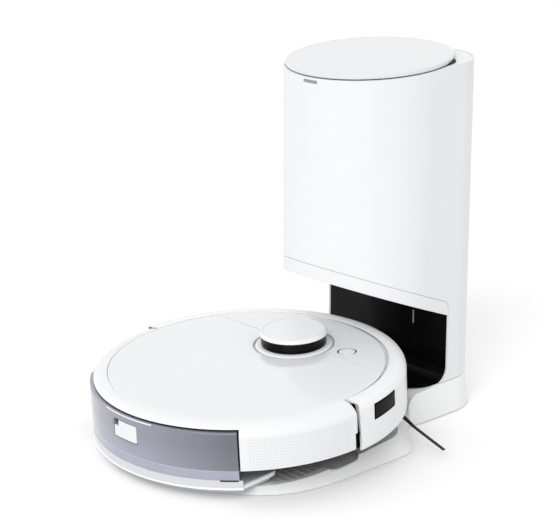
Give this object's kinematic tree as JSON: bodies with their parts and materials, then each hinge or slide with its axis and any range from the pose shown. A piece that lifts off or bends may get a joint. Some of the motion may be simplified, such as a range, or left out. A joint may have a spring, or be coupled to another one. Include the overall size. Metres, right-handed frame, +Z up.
{
  "type": "robot vacuum",
  "caption": "Round robot vacuum and mop with sensor turret and lift-up deck flap, standing on the ramp of its tall self-emptying docking station.",
  "frame": {"origin": "on the floor, under the middle of the set's outline", "axes": "+Z up, +Y from the robot towards the station's column, +X to the right of the docked robot's nose direction"},
  "size_m": [0.375, 0.4603, 0.4199],
  "materials": {
    "white_plastic": "satin white moulded plastic",
    "deck_white": "glossy white lacquered plastic",
    "grey_plastic": "matt mid grey plastic",
    "dark_plastic": "matt charcoal plastic",
    "black_gloss": "piano black plastic",
    "black_rubber": "black rubber",
    "tyre": "moulded black tyre",
    "tank_plastic": "translucent blue-grey plastic",
    "clear_plastic": "frosted clear plastic",
    "mop_cloth": "short microfibre pile",
    "paper": "filter fleece",
    "card": "pressed card",
    "bristle": "nylon bristle",
    "brush_blue": "soft rubber and bristle",
    "contact_metal": "plated contact",
    "steel": "plain steel"
  },
  "bodies": {
    "station": {"dock_base": "white_plastic", "base_cover": "grey_plastic", "track_right": "grey_plastic", "track_left": "grey_plastic", "inlet_seal": "black_rubber", "power_inlet": "dark_plastic", "rubber_foot_1": "black_rubber", "rubber_foot_2": "black_rubber", "rubber_foot_3": "black_rubber", "rubber_foot_4": "black_rubber", "column_shell": "white_plastic", "underside_cover": "white_plastic", "dock_panel": "black_gloss", "rear_cover": "white_plastic", "status_light": "grey_plastic", "bag_chamber": "white_plastic", "bag_card": "card", "dust_bag": "paper", "suction_motor": "dark_plastic", "dust_duct": "grey_plastic", "lid_seal": "black_rubber", "hinge_pin": "steel"},
    "lid": {"station_lid": "deck_white"},
    "contact_right": {"dock_contact_right": "contact_metal"},
    "contact_left": {"dock_contact_left": "contact_metal"},
    "robot": {"chassis": "dark_plastic", "side_wall": "white_plastic", "top_cover": "deck_white", "dustbin": "dark_plastic", "dust_filter": "paper", "battery": "dark_plastic", "fan": "dark_plastic", "brush_cover": "dark_plastic", "turret_base": "white_plastic", "turret_window": "black_gloss", "turret_cap": "deck_white"},
    "flap": {"deck_flap": "deck_white"},
    "bumper": {"bumper": "white_plastic", "sensor_window": "black_gloss"},
    "button": {"power_button": "deck_white"},
    "spinner": {"turret_spinner": "dark_plastic"},
    "brush": {"main_brush": "brush_blue"},
    "caster": {"caster_cup": "dark_plastic"},
    "roller": {"caster_roller": "black_rubber"},
    "arm_right": {"wheel_arm_right": "dark_plastic"},
    "wheel_right": {"wheel_hub_right": "grey_plastic", "wheel_tyre_right": "tyre"},
    "arm_left": {"wheel_arm_left": "dark_plastic"},
    "wheel_left": {"wheel_hub_left": "grey_plastic", "wheel_tyre_left": "tyre"},
    "sweeper_right": {"sweeper_hub_right": "brush_blue", "sweeper_bristles_right": "bristle"},
    "sweeper_left": {"sweeper_hub_left": "brush_blue", "sweeper_bristles_left": "bristle"},
    "tank": {"water_tank": "tank_plastic", "tank_plug": "black_rubber", "mop_plate": "clear_plastic", "mop_pad": "mop_cloth"},
    "latch": {"tank_latch": "white_plastic"}
  },
  "joints": [
    {"name": "lid_hinge", "type": "hinge", "parent": "station", "child": "lid", "pos_m": [0, 0.21974, 0.41107], "axis": [-1, 0, 0], "range_deg": [0, 75]},
    {"name": "dock_slide", "type": "slide", "parent": "station", "child": "robot", "axis": [0, -1, 0], "range_m": [0, 0.25]},
    {"name": "contact_right_press", "type": "slide", "parent": "station", "child": "contact_right", "axis": [0, 0.057, -0.9984], "range_m": [0, 0.003], "stiffness_N_per_m": 150, "springref_m": -0.002},
    {"name": "contact_left_press", "type": "slide", "parent": "station", "child": "contact_left", "axis": [0, 0.057, -0.9984], "range_m": [0, 0.003], "stiffness_N_per_m": 150, "springref_m": -0.002},
    {"name": "flap_hinge", "type": "hinge", "parent": "robot", "child": "flap", "pos_m": [0, 0.01742, 0.09624], "axis": [-1, 0, 0], "range_deg": [0, 75]},
    {"name": "bumper_press", "type": "slide", "parent": "robot", "child": "bumper", "axis": [0, -0.9984, -0.057], "range_m": [0, 0.0035], "stiffness_N_per_m": 800, "springref_m": -0.002},
    {"name": "power_press", "type": "slide", "parent": "robot", "child": "button", "axis": [0, 0.057, -0.9984], "range_m": [0, 0.0012], "stiffness_N_per_m": 500, "springref_m": -0.001},
    {"name": "spinner_turn", "type": "hinge", "parent": "robot", "child": "spinner", "pos_m": [0, 0.00986, 0.10232], "axis": [0, -0.057, 0.9984], "continuous": true},
    {"name": "brush_turn", "type": "hinge", "parent": "robot", "child": "brush", "pos_m": [0, -0.05433, 0.03356], "axis": [1, 0, 0], "continuous": true},
    {"name": "sweeper_right_turn", "type": "hinge", "parent": "robot", "child": "sweeper_right", "pos_m": [0.1059, 0.05396, 0.02972], "axis": [0, 0.057, -0.9984], "continuous": true, "deforming": ["sweeper_bristles_right"]},
    {"name": "sweeper_left_turn", "type": "hinge", "parent": "robot", "child": "sweeper_left", "pos_m": [-0.1059, 0.05396, 0.02972], "axis": [0, -0.057, 0.9984], "continuous": true, "deforming": ["sweeper_bristles_left"]},
    {"name": "caster_swivel", "type": "hinge", "parent": "robot", "child": "caster", "pos_m": [0, 0.06542, 0.04139], "axis": [0, -0.057, 0.9984], "continuous": true},
    {"name": "caster_roll", "type": "hinge", "parent": "caster", "child": "roller", "pos_m": [0, 0.06185, 0.03367], "axis": [1, 0, 0], "continuous": true},
    {"name": "arm_right_swing", "type": "hinge", "parent": "robot", "child": "arm_right", "pos_m": [0.1, -0.00949, 0.05514], "axis": [-1, 0, 0], "range_deg": [0, 8], "stiffness_Nm_per_rad": 3, "springref_deg": -11.46},
    {"name": "wheel_right_roll", "type": "hinge", "parent": "arm_right", "child": "wheel_right", "pos_m": [0.115, -0.05306, 0.04635], "axis": [1, 0, 0], "continuous": true},
    {"name": "arm_left_swing", "type": "hinge", "parent": "robot", "child": "arm_left", "pos_m": [-0.1, -0.00949, 0.05514], "axis": [-1, 0, 0], "range_deg": [0, 8], "stiffness_Nm_per_rad": 3, "springref_deg": -11.46},
    {"name": "wheel_left_roll", "type": "hinge", "parent": "arm_left", "child": "wheel_left", "pos_m": [-0.115, -0.05306, 0.04635], "axis": [1, 0, 0], "continuous": true},
    {"name": "tank_slide", "type": "slide", "parent": "robot", "child": "tank", "axis": [0, -0.9984, -0.057], "range_m": [0, 0.08]},
    {"name": "latch_press", "type": "slide", "parent": "tank", "child": "latch", "axis": [0, 0.9984, 0.057], "range_m": [0, 0.002], "stiffness_N_per_m": 600, "springref_m": -0.001}
  ],
  "couplings": [
    {"joint": "wheel_right_roll", "follows": "dock_slide", "rad_per_m": 30.769},
    {"joint": "wheel_left_roll", "follows": "dock_slide", "rad_per_m": 30.769}
  ]
}
